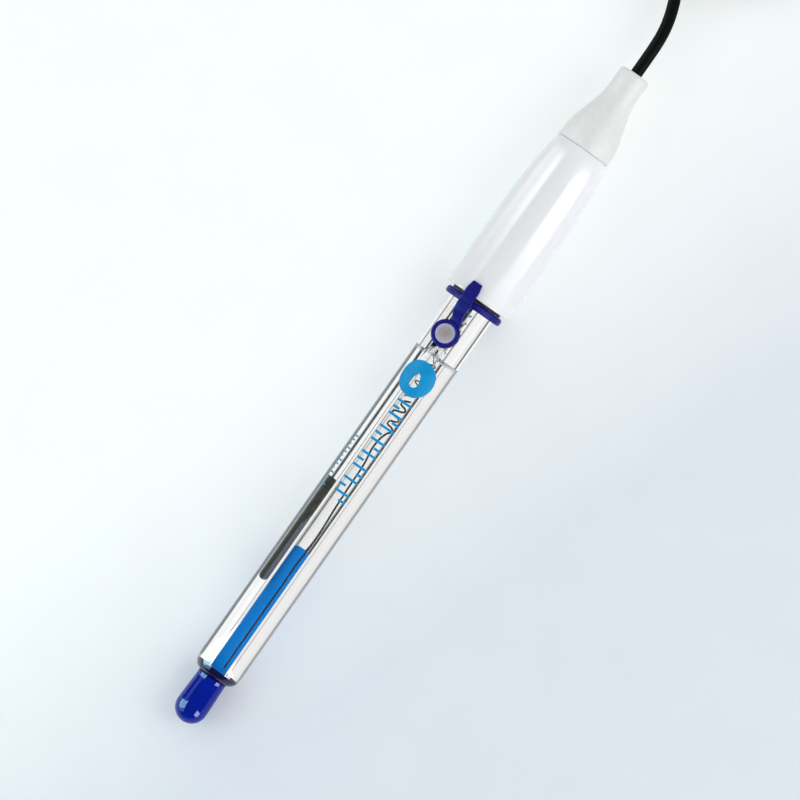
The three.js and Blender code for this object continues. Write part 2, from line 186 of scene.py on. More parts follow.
def tube(name, points, radius, place, material, sides=4):
    """A round wire or cable: a curve of one open spline through the points."""
    data = bpy.data.curves.new(name, "CURVE")
    data.dimensions = "3D"
    data.bevel_depth = radius * MM
    data.bevel_resolution = sides
    data.resolution_u = 6
    data.use_fill_caps = True
    spline = data.splines.new("BEZIER")
    spline.bezier_points.add(len(points) - 1)
    for knot, point in zip(spline.bezier_points, points):
        knot.co = (place @ Vector(point)) * MM
        knot.handle_left_type = knot.handle_right_type = "AUTO"
    data.materials.append(material)
    return add_object(name, data)


def ribbon(stations, squareness, sides=40):
    """A bmesh of a bar of rounded-rectangle section through stations of (u, y, z, width, thickness)."""
    bm = bmesh.new()
    centres = [Vector(s[:3]) for s in stations]
    rings = []
    for i, (_, _, _, width, thick) in enumerate(stations):
        tangent = (centres[min(i + 1, len(centres) - 1)] - centres[max(i - 1, 0)]).normalized()
        side = Vector((0, 1, 0))
        side = (side - tangent * side.dot(tangent)).normalized()
        up = tangent.cross(side)
        ring = []
        for k in range(sides):
            a = 2 * math.pi * k / sides
            c, s = math.cos(a), math.sin(a)
            x = math.copysign(abs(c) ** (2 / squareness), c) * width / 2
            z = math.copysign(abs(s) ** (2 / squareness), s) * thick / 2
            ring.append(bm.verts.new(centres[i] + side * x + up * z))
        rings.append(ring)
    for a, b in zip(rings, rings[1:]):
        for k in range(sides):
            bm.faces.new((a[k], a[(k + 1) % sides], b[(k + 1) % sides], b[k]))
    bm.faces.new(rings[0])
    bm.faces.new(rings[-1])
    return bm


def spaced(points, count):
    """Points at even steps on a smooth curve through a few points of any number of coordinates."""
    result = []
    last = len(points) - 1
    for i in range(count + 1):
        t = i / count * last
        k = min(int(t), last - 1)
        f = t - k
        p = [points[max(k - 1, 0)], points[k], points[k + 1], points[min(k + 2, last)]]
        result.append(tuple(
            0.5 * (2 * b + (c - a) * f + (2 * a - 5 * b + 4 * c - d) * f * f
                   + (3 * b - a - 3 * c + d) * f ** 3)
            for a, b, c, d in zip(*p)
        ))
    return result


def boolean(piece, cutters, operation="DIFFERENCE"):
    """Cuts closed meshes from a piece, or adds them, and leaves its finished mesh."""
    for cutter in cutters:
        modifier = piece.modifiers.new("cut", "BOOLEAN")
        modifier.object = cutter
        modifier.operation = operation
        modifier.solver = "EXACT"
    apply_modifiers(piece)
    for cutter in cutters:
        bpy.data.objects.remove(cutter)


def apply_modifiers(piece):
    graph = bpy.context.evaluated_depsgraph_get()
    data = bpy.data.meshes.new_from_object(piece.evaluated_get(graph))
    piece.modifiers.clear()
    piece.data = data


def clear(piece):
    """Casts no shadow and adds no light to what is round it, so the floor by the glass stays even."""
    piece.visible_shadow = False
    piece.visible_diffuse = False
    return piece


def give(piece, body, slot, *nodes):
    """Puts a finished piece on its body and hides the CAD nodes that it stands for. Its material slot is not
    used.
    """
    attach(piece, body)
    if nodes:
        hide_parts(*nodes)
    return piece


# ---------------------------------------------------------------- materials

def surface(name, colour, roughness, metallic=0.0, spread=0.06, grain=0.5, bump=0.05, depth=0.02,
            sheen=0.0, specular=0.5):
    """A moulded or metal surface: its colour and gloss vary a little, over a fine grain in millimetres."""
    rough_spread = 0.25
    material = bpy.data.materials.new(name)
    material.use_nodes = True
    nodes, links = material.node_tree.nodes, material.node_tree.links
    shader = nodes["Principled BSDF"]
    shader.inputs["Metallic"].default_value = metallic
    shader.inputs["Specular IOR Level"].default_value = specular
    shader.inputs["Sheen Weight"].default_value = sheen
    place = nodes.new("ShaderNodeTexCoord")
    cloud = nodes.new("ShaderNodeTexNoise")
    cloud.inputs["Scale"].default_value = 1 / (grain * 9 * MM)
    cloud.inputs["Detail"].default_value = 4
    links.new(place.outputs["Object"], cloud.inputs["Vector"])
    ramp = nodes.new("ShaderNodeValToRGB")
    for element, factor in zip(ramp.color_ramp.elements, (1 - spread, 1 + spread)):
        element.color = (*[min(1.0, c * factor) for c in colour], 1)
    ramp.color_ramp.elements[0].position = 0.3
    ramp.color_ramp.elements[1].position = 0.7
    links.new(cloud.outputs["Fac"], ramp.inputs["Fac"])
    links.new(ramp.outputs["Color"], shader.inputs["Base Color"])
    fine = nodes.new("ShaderNodeTexNoise")
    fine.inputs["Scale"].default_value = 1 / (grain * MM)
    fine.inputs["Detail"].default_value = 6
    links.new(place.outputs["Object"], fine.inputs["Vector"])
    gloss = nodes.new("ShaderNodeMapRange")
    gloss.inputs["From Min"].default_value = 0.3
    gloss.inputs["From Max"].default_value = 0.7
    gloss.inputs["To Min"].default_value = roughness * (1 - rough_spread)
    gloss.inputs["To Max"].default_value = roughness * (1 + rough_spread)
    links.new(fine.outputs["Fac"], gloss.inputs["Value"])
    links.new(gloss.outputs["Result"], shader.inputs["Roughness"])
    relief = nodes.new("ShaderNodeBump")
    relief.inputs["Strength"].default_value = bump
    relief.inputs["Distance"].default_value = depth * MM
    links.new(fine.outputs["Fac"], relief.inputs["Height"])
    links.new(relief.outputs["Normal"], shader.inputs["Normal"])
    return material


def glass(name, ior, ripple=0.01):
    """Clear glass with the faint lengthwise ripple of drawn tube."""
    colour = (0.99, 0.993, 0.99)
    material = bpy.data.materials.new(name)
    material.use_nodes = True
    nodes, links = material.node_tree.nodes, material.node_tree.links
    shader = nodes["Principled BSDF"]
    shader.inputs["Base Color"].default_value = (*colour, 1)
    shader.inputs["Roughness"].default_value = 0.0
    shader.inputs["IOR"].default_value = ior
    shader.inputs["Transmission Weight"].default_value = 1.0
    place = nodes.new("ShaderNodeTexCoord")
    stretch = nodes.new("ShaderNodeMapping")
    stretch.inputs["Scale"].default_value = (0.02, 1, 1)
    wave = nodes.new("ShaderNodeTexNoise")
    wave.inputs["Scale"].default_value = 1 / (2.5 * MM)
    wave.inputs["Detail"].default_value = 1
    relief = nodes.new("ShaderNodeBump")
    relief.inputs["Strength"].default_value = ripple
    relief.inputs["Distance"].default_value = 0.05 * MM
    links.new(place.outputs["Object"], stretch.inputs["Vector"])
    links.new(stretch.outputs["Vector"], wave.inputs["Vector"])
    links.new(wave.outputs["Fac"], relief.inputs["Height"])
    links.new(relief.outputs["Normal"], shader.inputs["Normal"])
    return material


def faint(name, colour, alpha):
    """The side of a clear liquid, which the glass round it already refracts."""
    material = surface(name, colour, 0.3, spread=0.02)
    material.node_tree.nodes["Principled BSDF"].inputs["Alpha"].default_value = alpha
    return material


DRY = glass("glass_to_air", 1.5)
WET = glass("glass_to_liquid", 1.5 / 1.36, ripple=0.0)
LIQUID_SIDE = faint("liquid_side", (0.25, 0.27, 0.28), 0.01)
# The meniscus is painted as a pale grey band, and darker grey where it meets the glass: painted shade on a
# clear liquid.
MENISCUS_SHADE = faint("meniscus", (0.75, 0.76, 0.77), 0.35)
MENISCUS_RIM_SHADE = faint("meniscus_rim", (0.30, 0.30, 0.30), 0.4)
BLUE_GLASS = surface("blue_glass", (0.001, 0.012, 0.29), 0.04, spread=0.25, grain=1.2, bump=0.0,
                     specular=0.25)
# The seal is the bulb's own blue glass, painted almost black as painted shade for the dark band round the
# tube's shoulder.
SEAL_GLASS_PAINTED_SHADE = surface("blue_seal_painted_shade", (0.002, 0.002, 0.045), 0.12, spread=0.3, grain=0.6, bump=0.0,
                    specular=0.04)
GEL = surface("blue_gel", (0.0, 0.215, 0.68), 0.5, spread=0.05, grain=1.0, bump=0.0, specular=0.0)
SILVER = surface("silver_wire", (0.10, 0.10, 0.10), 0.35, 1.0, spread=0.2, grain=0.15)
WIRE = surface("tarnished_silver", (0.008, 0.008, 0.009), 0.5, spread=0.3, grain=0.12, specular=0.15)
CHLORIDE = surface("silver_chloride", (0.042, 0.040, 0.028), 0.8, spread=0.4, grain=0.12, bump=0.5,
                   depth=0.04, specular=0.1)
CERAMIC = surface("ceramic", (0.03, 0.035, 0.035), 0.6, spread=0.3, grain=0.1, bump=0.3, specular=0.2)
WHITE = surface("white_plastic", (0.915, 0.908, 0.92), 0.16, spread=0.012, grain=0.35, bump=0.04)
GREY = surface("grey_rubber", (0.815, 0.805, 0.775), 0.5, spread=0.03, grain=0.18, bump=0.18, sheen=0.2)
NAVY = surface("navy_silicone", (0.003, 0.002, 0.185), 0.4, spread=0.12, grain=0.25, bump=0.1,
               specular=0.12)
# The disc's recess is painted in rings, pale lavender at its edge to brownish grey in its middle: a painted
# reflection in the hollow of the navy silicone.
RECESS_RIM_REFLECTION = surface("recess_rim_painted_reflection", (0.46, 0.43, 0.56), 0.45, spread=0.08, grain=0.3, bump=0.1,
                    specular=0.2)
RECESS_REFLECTION = surface("recess_painted_reflection", (0.40, 0.355, 0.38), 0.45, spread=0.12, grain=0.3, bump=0.1,
                specular=0.2)
RECESS_MIDDLE_REFLECTION = surface("recess_middle_painted_reflection", (0.36, 0.30, 0.27), 0.5, spread=0.15, grain=0.3, bump=0.15,
                       specular=0.2)
BLACK = surface("black_rubber", (0.010, 0.010, 0.011), 0.5, spread=0.15, grain=0.2, bump=0.12,
                specular=0.3)
JACKET = surface("cable_jacket", (0.003, 0.0035, 0.0035), 0.45, spread=0.15, grain=0.25, bump=0.15,
                 specular=0.05)
TIE_PLASTIC = surface("tie_plastic", (0.012, 0.012, 0.013), 0.5, spread=0.15, grain=0.3, bump=0.1,
                      specular=0.15)
RESIN = surface("potting_resin", (0.08, 0.06, 0.045), 0.2, spread=0.15, grain=0.6)
INSULATION = surface("white_insulation", (0.8, 0.8, 0.78), 0.35, spread=0.04, grain=0.3)
RED_SLEEVE = surface("red_sleeve", (0.26, 0.02, 0.015), 0.45, spread=0.1, grain=0.3)
NICKEL = surface("nickel_plate", (0.62, 0.60, 0.57), 0.2, 1.0, spread=0.05, grain=0.25, bump=0.05)
GOLD = surface("gold_plate", (0.75, 0.52, 0.2), 0.18, 1.0, spread=0.05, grain=0.25)
RED_SILICONE = surface("red_silicone", (0.32, 0.04, 0.025), 0.4, spread=0.1, grain=0.3)
INK = surface("cyan_ink", (0.0, 0.31, 0.66), 0.45, specular=0.1, spread=0.06, grain=0.15, bump=0.15)


# ---------------------------------------------------------------- camera, floor and lights

def make_camera():
    """Looks down on the electrode with a long lens, leaning to its -Y side, its cable to the upper right."""
    lean = math.radians(13)
    turn = math.radians(54.6)
    frame_width = 0.1905
    aim = ELECTRODE @ Vector((92.5, 1.44, 0)) * MM
    back = Vector((0, -math.sin(lean), math.cos(lean)))
    along = Vector((1, 0, 0))
    across = back.cross(along)
    right = along * math.cos(turn) - across * math.sin(turn)
    up = along * math.sin(turn) + across * math.cos(turn)
    data = bpy.data.cameras.new("camera")
    data.lens = 200
    data.sensor_width = 36
    data.clip_start = 0.05
    data.clip_end = 20
    camera = add_object("camera", data)
    place = Matrix((right, up, back)).transposed().to_4x4()
    distance = frame_width * data.lens / data.sensor_width
    camera.matrix_world = Matrix.Translation(aim + back * distance) @ place
    bpy.context.scene.camera = camera


def panel(name, size, place, material):
    """A flat sheet of (x, y) size, which is not part of the object."""
    bm = bmesh.new()
    x, y = size[0] / 2, size[1] / 2
    bm.faces.new([bm.verts.new(p) for p in ((-x, -y, 0), (x, -y, 0), (x, y, 0), (-x, y, 0))])
    bm.transform(place)
    data = bpy.data.meshes.new(name)
    bm.to_mesh(data)
    bm.free()
    data.materials.append(material)
    sheet = add_object(name, data)
    return sheet


def softbox(name, place, aim, size, radiance, colour=(1, 1, 1), reflections_only=False):
    """A rectangular lamp. One for reflections only is a window that just polished surfaces see."""
    data = bpy.data.lights.new(name, "AREA")
    data.shape = "RECTANGLE"
    data.size, data.size_y = size
    data.energy = radiance * math.pi * size[0] * size[1]
    data.color = colour
    lamp = add_object(name, data)
    lamp.location = place
    lamp.rotation_mode = "QUATERNION"
    lamp.rotation_quaternion = (Vector(aim) - Vector(place)).to_track_quat("-Z", "Y")
    lamp.visible_glossy = reflections_only
    lamp.visible_diffuse = not reflections_only
    lamp.visible_transmission = not reflections_only
    return lamp


def floor_paper():
    """Pale backdrop paper that glows a little, brighter to the picture's upper left."""
    fade_turn, fade_scale, fade_shift = -71, 4.2, 0.5
    glow_stops = [(0.30, (0.0, 0.0, 0.01)), (0.62, (0.24, 0.23, 0.19))]
    paper = surface("floor_paper", (0.83, 0.86, 0.89), 0.7, spread=0.01, grain=2.0, bump=0.02)
    nodes, links = paper.node_tree.nodes, paper.node_tree.links
    place = nodes.new("ShaderNodeTexCoord")
    slide = nodes.new("ShaderNodeMapping")
    slide.inputs["Rotation"].default_value = (0, 0, math.radians(fade_turn))
    slide.inputs["Scale"].default_value = (fade_scale, fade_scale, fade_scale)
    slide.inputs["Location"].default_value = (fade_shift, 0, 0)
    fade = nodes.new("ShaderNodeTexGradient")
    glow = nodes.new("ShaderNodeValToRGB")
    for element, (stop, colour) in zip(glow.color_ramp.elements, glow_stops):
        element.position = stop
        element.color = (*colour, 1)
    links.new(place.outputs["Object"], slide.inputs["Vector"])
    links.new(slide.outputs["Vector"], fade.inputs["Vector"])
    links.new(fade.outputs["Fac"], glow.inputs["Fac"])
    links.new(glow.outputs["Color"], nodes["Principled BSDF"].inputs["Emission Color"])
    nodes["Principled BSDF"].inputs["Emission Strength"].default_value = 1.0
    return paper


def make_studio():
    floor_size, floor_drop = 8, 0.0002  # the drop keeps it clear of the lowest faces
    place = Matrix.Translation((0, 0, -floor_drop))
    floor = panel("floor", (floor_size, floor_size), place, floor_paper())
    floor.visible_transmission = False  # glass looks through to the light table
    make_world()
    bpy.context.scene.view_settings.view_transform = "Standard"
    softbox("key_light", (0.25, -0.6, 0.6), (0, 0, 0), (0.5, 0.5), 2.05)
    # Windows that only reflections see. The bulb and the cap have them, and the tube between them
    # reflects the dim room. Each has a name, its ends along X, its place (y, z), height, radiance, colour.
    left, warm, cool = (0.566, 0.41), (1, 0.98, 0.94), (0.96, 0.97, 1)
    windows = [
        ("bulb_window_left", (-0.62, -0.165), left, 0.70, 15, (0.5, 0.9, 1)),
        ("bulb_glow_left", (-0.165, -0.09), left, 0.30, 2.5, (0.5, 0.65, 1)),
        ("bulb_glow_tip", (-1.10, -0.62), left, 0.80, 5, (0.3, 0.65, 1)),
        ("bulb_window_right", (-0.54, -0.18), (-0.7, 0.19), 0.42, 15, cool),
        ("cap_window_left", (0.045, 0.27), (0.44, 0.54), 0.26, 3, warm),
        ("cap_glow_left", (0.045, 0.27), (0.60, 0.36), 0.85, 3.5, warm),
        ("cap_window_right", (0.045, 0.27), (-0.72, 0.25), 0.95, 7, cool),
    ]
    for name, (start, end), (y, z), height, radiance, colour in windows:
        x = (start + end) / 2
        softbox(name, (x, y, z), (x, 0, 0), (end - start, height), radiance, colour, True)


def make_world():
    """Even light for matt surfaces, a dim room for reflections, a light table for glass."""
    world = bpy.data.worlds.new("studio")
    world.use_nodes = True
    nodes, links = world.node_tree.nodes, world.node_tree.links
    sky = nodes["Background"]
    sky.inputs["Strength"].default_value = 1.0
    bpy.context.scene.world = world
    direction = nodes.new("ShaderNodeTexCoord")
    axes = nodes.new("ShaderNodeSeparateXYZ")
    links.new(direction.outputs["Generated"], axes.inputs["Vector"])

    def math_node(operation, a, b=None):
        node = nodes.new("ShaderNodeMath")
        node.operation = operation
        for socket, value in zip(node.inputs, (a, b)):
            if isinstance(value, (int, float)):
                socket.default_value = value
            elif value is not None:
                links.new(value, socket)
        return node.outputs["Value"]

    def ramp(value, stops):
        node = nodes.new("ShaderNodeValToRGB")
        elements = node.color_ramp.elements
        while len(elements) < len(stops):
            elements.new(0.5)
        for element, (place, colour) in zip(elements, stops):
            element.position = place
            element.color = (*colour, 1)
        links.new(value, node.inputs["Fac"])
        return node.outputs["Color"]

    def mix(factor, a, b):
        node = nodes.new("ShaderNodeMix")
        node.data_type = "RGBA"
        links.new(factor, node.inputs[0])
        for socket, value in ((node.inputs[6], a), (node.inputs[7], b)):
            if isinstance(value, tuple):
                socket.default_value = (*value, 1)
            else:
                links.new(value, socket)
        return node.outputs[2]

    # The angle from straight down, across the electrode: negative towards -Y.
    angle = math_node("ARCTAN2", axes.outputs["Y"], math_node("MULTIPLY", axes.outputs["Z"], -1.0))
    share = math_node("ADD", math_node("DIVIDE", angle, math.pi), 0.5)
    white, dark, dim = (1.0, 1.0, 1.0), (0.03, 0.035, 0.04), (0.25, 0.25, 0.25)
    pale, rosy, far, overhead = (0.9, 0.9, 0.9), (0.86, 0.84, 0.84), (0.92, 0.93, 0.94), (0.42, 0.44, 0.46)
    even, backdrop = (0.70, 0.725, 0.745), (0.86, 0.92, 0.97)
    stops = [(-70, pale), (-66, dark), (-27, dark), (-22, white), (13, white),
             (50, rosy), (54, dim), (68, dim), (72, pale)]
    band = ramp(share, [(0.5 + degrees / 180, colour) for degrees, colour in stops])
    side = math_node("ABSOLUTE", axes.outputs["X"])
    along = ramp(side, [(0.2, (0, 0, 0)), (0.4, (1, 1, 1))])
    table = mix(along, band, far)
    table = mix(math_node("GREATER_THAN", axes.outputs["Z"], 0.1), table, overhead)
    sideways = math_node("MULTIPLY", math_node("ADD", axes.outputs["X"], 1.0), 0.5)
    dusk, night, day = (0.10, 0.10, 0.12), (0.07, 0.07, 0.08), (0.8, 0.82, 0.85)
    room = ramp(sideways, [(0.2, dusk), (0.5, night), (0.9, day)])
    ray = nodes.new("ShaderNodeLightPath")
    light = mix(ray.outputs["Is Glossy Ray"], even, room)
    light = mix(ray.outputs["Is Transmission Ray"], light, table)
    light = mix(ray.outputs["Is Camera Ray"], light, backdrop)
    links.new(light, sky.inputs["Color"])


# ---------------------------------------------------------------- glass and what it holds

def quarter(r, start, end, lip, steps=12):
    """The rounded shoulder that closes a tube in to the lip."""
    points = []
    for i in range(steps + 1):
        a = math.pi / 2 * i / steps
        points.append((end - (end - start) * math.cos(a), lip + (r - lip) * math.sin(a)))
    return points


def make_bulb():
    """The blue glass bulb: a little wider near its tip, and flared above to its seal with the tube."""
    wall, tip_r, neck_r, neck = 0.45, 4.05, 3.8, 12.6
    outside = arc(tip_r, 0, tip_r, 180, 90, 24)[1:]
    for i in range(1, 9):
        outside.append((tip_r + (neck - tip_r) * i / 8, tip_r + (neck_r - tip_r) * ease(i / 8)))
    flare = [(14.6 - 1.9 * math.cos(a), neck_r + 0.8 * (1 - math.cos(a)) ** 0.8)
             for a in [math.pi / 2 * i / 8 for i in range(1, 9)]]
    inside = [(15.1, flare[-1][1]), (15.2, 4.2), (14.6, 3.6), (13.4, neck_r - wall)]
    inside += arc(tip_r, 0, tip_r - wall, 90, 180, 20)[:-1] + [(wall, 0)]
    # Above the neck the flare takes the seal's painted shade, a near-black copy of the bulb's blue glass.
    bulb = turned("glass_bulb", [(0, 0)] + outside + flare + inside, ELECTRODE, [BLUE_GLASS, SEAL_GLASS_PAINTED_SHADE],
                  pick=lambda u, r: 1 if u > neck else 0)
    give(bulb, "root", "blue_glass", "membrane_bulb")


def over_refill():
    """Stands a turned profile on the refill hole, its own axis across the electrode's."""
    return ELECTRODE @ Matrix.Translation((REFILL["u"], 0, 0)) @ Matrix.Rotation(-math.pi / 2, 4, "Y")


def make_outer_tube():
    start, end, lip = SHOULDER["start"], SHOULDER["end"], SHOULDER["lip"]
    wet = [LIQUID_FLOOR + 2, 40, 70, LIQUID_LEVEL]
    profile = quarter(TUBE_R, start, end, lip)
    profile += [(u, TUBE_R) for u in (40, 70, 100, TUBE_END - 0.3)] + [(TUBE_END, TUBE_R - 0.3)]
    profile += [(TUBE_END, TUBE_BORE), (LIQUID_LEVEL + 14, TUBE_BORE)]
    profile += [(u, TUBE_BORE) for u in reversed(wet)]
    profile += list(reversed(quarter(TUBE_BORE, start + 1.7, end + 1.2, lip)))

    def pick(u, r):
        inside = r < TUBE_BORE + 0.01 and u > start + 1.75
        return 1 if inside and u < LIQUID_LEVEL else 0

    body = turned("outer_glass", profile, ELECTRODE, [DRY, WET], facets=128, pick=pick)
    low, high = 2, 9  # from inside the bore to outside the glass
    hole = [(low, 0), (low, REFILL["r"]), (high, REFILL["r"]), (high, 0)]
    boolean(body, [turned("drill", hole, over_refill(), [DRY], facets=48)])
    give(clear(body), "root", "clear_glass", "outer_glass_body")


def make_stem():
    """The inner tube, flared at its foot to the seal, with gel in its bore up to the gel's level."""
    foot, waist_start, waist_end, wall = 3.88, 13.7, 15.5, 0.5
    outer, inner = [], []
    for i in range(13):
        t = i / 12
        u = waist_start + (waist_end - waist_start) * t
        outer.append((u, foot + (STEM_R - foot) * ease(t)))
        inner.append((u - 0.25, foot - wall + (STEM_BORE - foot + wall) * ease(t)))
    profile = [(13.2, foot)] + outer + [(u, STEM_R) for u in (50, LIQUID_LEVEL, STEM_END)]
    profile += [(STEM_END, STEM_BORE), (GEL_LEVEL, STEM_BORE)] + list(reversed(inner))
    profile.append((13.2, foot - wall))

    def pick(u, r):
        if u > waist_start and r > STEM_R - 0.01 and (u > 18.2 or r >= outer_radius(u) - 0.05):
            return 1 if u < LIQUID_LEVEL else 0
        return 1 if u < GEL_LEVEL else 0

    def outer_radius(u):
        return foot + (STEM_R - foot) * ease((u - waist_start) / (waist_end - waist_start))

    stem = turned("stem_glass", profile, ELECTRODE, [DRY, WET], facets=80, pick=pick)
    give(clear(stem), "root", "clear_glass", "stem_tube")


def make_gel():
    r, foot, gap = BULB_R - 0.52, 3.35, 0.08
    profile = [(0.55, 0)] + arc(BULB_R, 0, r, 180, 90, 20)[1:]
    for i in range(13):
        t = i / 12
        profile.append((13.4 + 1.85 * t, min(r, foot + (STEM_BORE - foot) * ease(t)) - gap))
    profile += [(GEL_LEVEL - 0.2, STEM_BORE - gap), (GEL_LEVEL + 0.25, STEM_BORE - 0.15), (GEL_LEVEL, 0)]
    gel = turned("gel_fill", profile, ELECTRODE, [GEL], facets=64)
    give(gel, "root", "blue_gel", "buffer_gel")


def make_liquid():
    """The clear electrolyte. Its sides are faint, as the glass round it already refracts to it."""
    gap, rise, outer_reach, inner_reach = 0.03, 1.1, 0.7, 0.5
    outer, inner = TUBE_BORE - gap, STEM_R + gap
    top = []
    for i in range(17):
        t = i / 16
        r = outer + (inner - outer) * t
        climb = rise * (math.exp(-(outer - r) / outer_reach) + 0.6 * math.exp(-(r - inner) / inner_reach))
        top.append((LIQUID_LEVEL - rise + climb, r))
    profile = [(LIQUID_FLOOR + 1.5, inner), (LIQUID_FLOOR + 1.5, outer)] + top

    # Faces at the top take the meniscus's painted shade, darker close to the walls.
    def pick(u, r):
        if u < LIQUID_LEVEL - 1.2:
            return 0
        return 2 if outer - r < 0.5 or r - inner < 0.3 else 1

    zones = [LIQUID_SIDE, MENISCUS_SHADE, MENISCUS_RIM_SHADE]
    liquid = turned("liquid_fill", profile, ELECTRODE, zones, facets=96, pick=pick)
    give(clear(liquid), "root", "electrolyte", "electrolyte_fill")


def make_reference():
    side, up, r = REFERENCE["side"], REFERENCE["up"], REFERENCE["r"]
    start, end = REFERENCE["start"], REFERENCE["end"]
    place = ELECTRODE @ Matrix.Translation((0, side, up))
    profile = [(start, 0)] + arc(start + r, 0, r, 180, 90, 8)[1:]
    profile += arc(end - 0.3, r - 0.3, 0.3, 90, 0, 4) + [(end, 0)]
    rod = turned("reference_rod", profile, place, [CHLORIDE], facets=32)
    give(rod, "root", "silver_chloride", "reference_element")
    lead = tube("reference_wire", [(end - 0.5, 0, 0), (90, 0, 0), (120, 0, 0), (145, 0, 0)],
                REFERENCE["lead_r"], place, SILVER)
    give(lead, "root", "silver_wire", "reference_lead")


def make_signal_wire():
    """Straight in the gel, then slack in the dry bore, then a loose zigzag, then a fine close coil."""
    slack = [
        (16.2, -0.92, 1.0), (28, -0.92, 1.02), (40, -0.94, 1.0), (49, -0.98, 0.98), (53, -1.2, 0.6),
        (57.2, -1.1, 0.2), (63, -0.75, 0), (69.3, -0.5, -0.2), (75.2, -0.35, 0), (80.2, 0.15, 0.3),
        (84, -0.6, 0.5),
    ]
    loops = [
        (85.5, -1.3, 0.2), (86.6, 1.0, -0.7), (88.2, -1.2, -0.3), (89.3, 1.1, 0.7), (91, -1.2, 0.3),
        (92.2, 0.9, -0.5), (93.6, -1.05, 0),
    ]
    wire_r, fine_r, coil_r = 0.24, 0.16, 1.05
    wire = tube("inner_wire", slack + loops, wire_r, ELECTRODE, WIRE)
    give(wire, "root", "silver_wire", "inner_silver_wire")
    turns, start, end, per_turn = 17, 94, 130, 12
    helix = []
    for i in range(turns * per_turn + 1):
        a = 2 * math.pi * i / per_turn
        u = start + (end - start) * i / (turns * per_turn)
        helix.append((u, coil_r * math.cos(a), coil_r * math.sin(a)))
    coil = tube("fine_coil", helix, fine_r, ELECTRODE, WIRE)
    give(coil, "root", "silver_wire", "lead_coil")


def make_junction():
    place = ELECTRODE @ Matrix.Translation((17.7, 0, 0)) @ Matrix.Rotation(math.pi / 2, 4, "Z")
    profile = [(4.9, 0), (4.9, 0.75), (5.3, 0.85)] + arc(5.9, 0.7, 0.15, 90, 0, 4) + [(6.05, 0)]
    plug = turned("junction_plug", profile, place, [CERAMIC], facets=40)
    give(plug, "root", "junction_ceramic", "ceramic_junction")


# ---------------------------------------------------------------- cap, boot and stopper

def cap_radius(u):
    return CAP["r"] - CAP["taper"] * ((u - CAP["start"]) / (CAP["end"] - CAP["start"])) ** CAP["power"]


def make_cap():
    start, end, wall = CAP["start"], CAP["end"], CAP["wall"]
    rim_round, steps = 0.45, 40
    rim = arc(start + rim_round, CAP["r"] - rim_round, rim_round, 180, 90, 6)
    heights = [start + (end - start) * i / steps for i in range(1, steps + 1)]
    side = [(u, cap_radius(u)) for u in heights]
    top = [(end, side[-1][1] - 0.25), (end + 0.02, 5.3)]
    side[-1] = (end - 0.2, side[-1][1])
    inside = [(end - 7, 5.3), (end - 8.5, CAP["r"] - wall), (136, CAP["r"] - wall), (136, TUBE_R + 0.35),
              (129.6, TUBE_R + 0.35), (129.6, TUBE_R + 1.95), (127, TUBE_R + 1.95), (127, TUBE_R + 0.35),
              (start + 0.5, TUBE_R + 0.35), (start, TUBE_R + 0.8)]
    cap = turned("white_cap", rim + side + top + inside, ELECTRODE, [WHITE], facets=128)
    give(cap, "root", "white_plastic", "cap_shell")


def boot_radius(u):
    w = max((u - BOOT["start"]) / BOOT["flare"], 0) ** 1.1
    return BOOT["r"] + (BOOT["wide"] - BOOT["r"]) * (1 + math.cos(math.pi * min(w, 1))) / 2


def make_boot():
    start, end, r = BOOT["start"], BOOT["end"], BOOT["r"]
    heights = [start + BOOT["flare"] * i / 32 for i in range(33)]
    skin = [(u, boot_radius(u)) for u in heights]
    face = CAP["end"] + 0.05  # pressed against the cap
    profile = [(160, 1.8), (160, 5), (face, 5), (face, skin[0][1] - 0.15)] + [(face + 0.15, skin[0][1])]
    profile += skin[1:] + arc(end - 0.8, r - 0.8, 0.8, 90, 0, 6)
    profile += [(end, 2.1), (end - 0.4, 1.7), (end - 20, 1.7)]
    boot = turned("cable_boot", profile, ELECTRODE, [GREY], facets=96)
    give(boot, "root", "grey_rubber", "strain_relief_boot")


